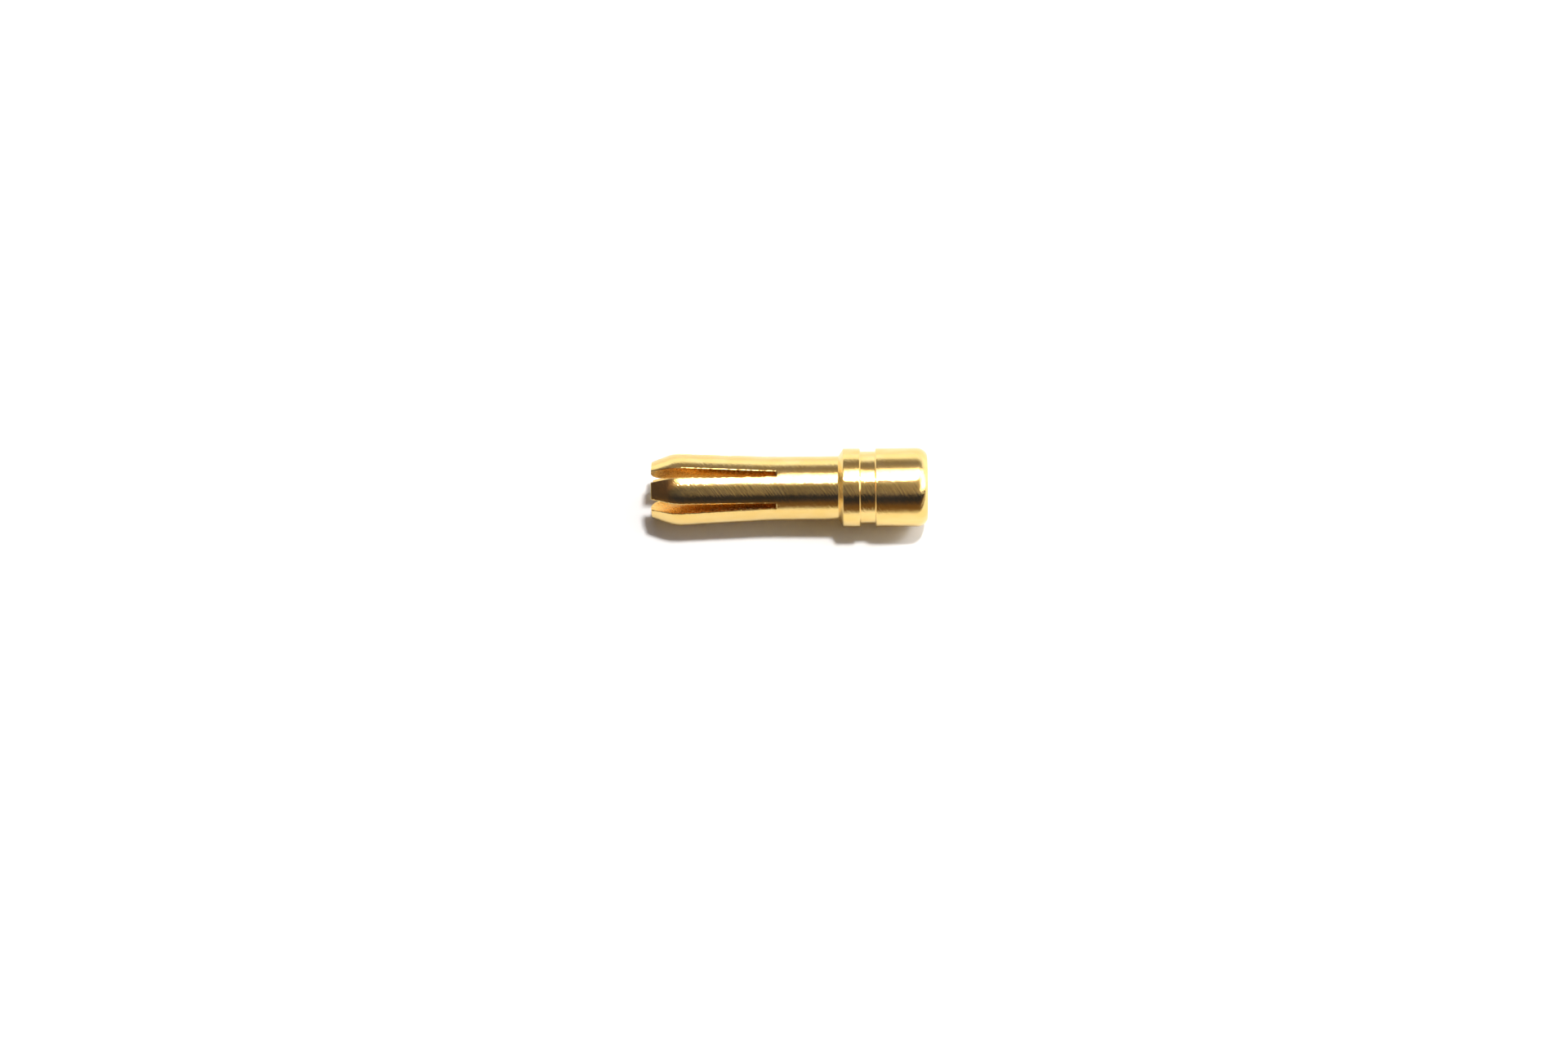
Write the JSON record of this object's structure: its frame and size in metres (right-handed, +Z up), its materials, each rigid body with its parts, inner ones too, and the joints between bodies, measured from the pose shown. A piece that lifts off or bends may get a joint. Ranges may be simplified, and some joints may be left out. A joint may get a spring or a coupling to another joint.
{
  "type": "bullet plug",
  "caption": "Gold-plated round bullet plug for a battery lead, with a spread slotted pin, a grooved collar and a solder cup.",
  "frame": {"origin": "bottom centre of the bounding box, on the surface that the plug lies on", "axes": "+X along the plug from its tip to its solder cup, +Z up; the plug's axis rises by 1.23 degrees towards the cup, as it does at rest"},
  "size_m": [0.021, 0.006, 0.0061],
  "materials": {
    "gold_plate": "bright gold plate over turned brass, fine turning marks"
  },
  "bodies": {
    "root": {"bullet_plug": "gold_plate"}
  },
  "joints": []
}
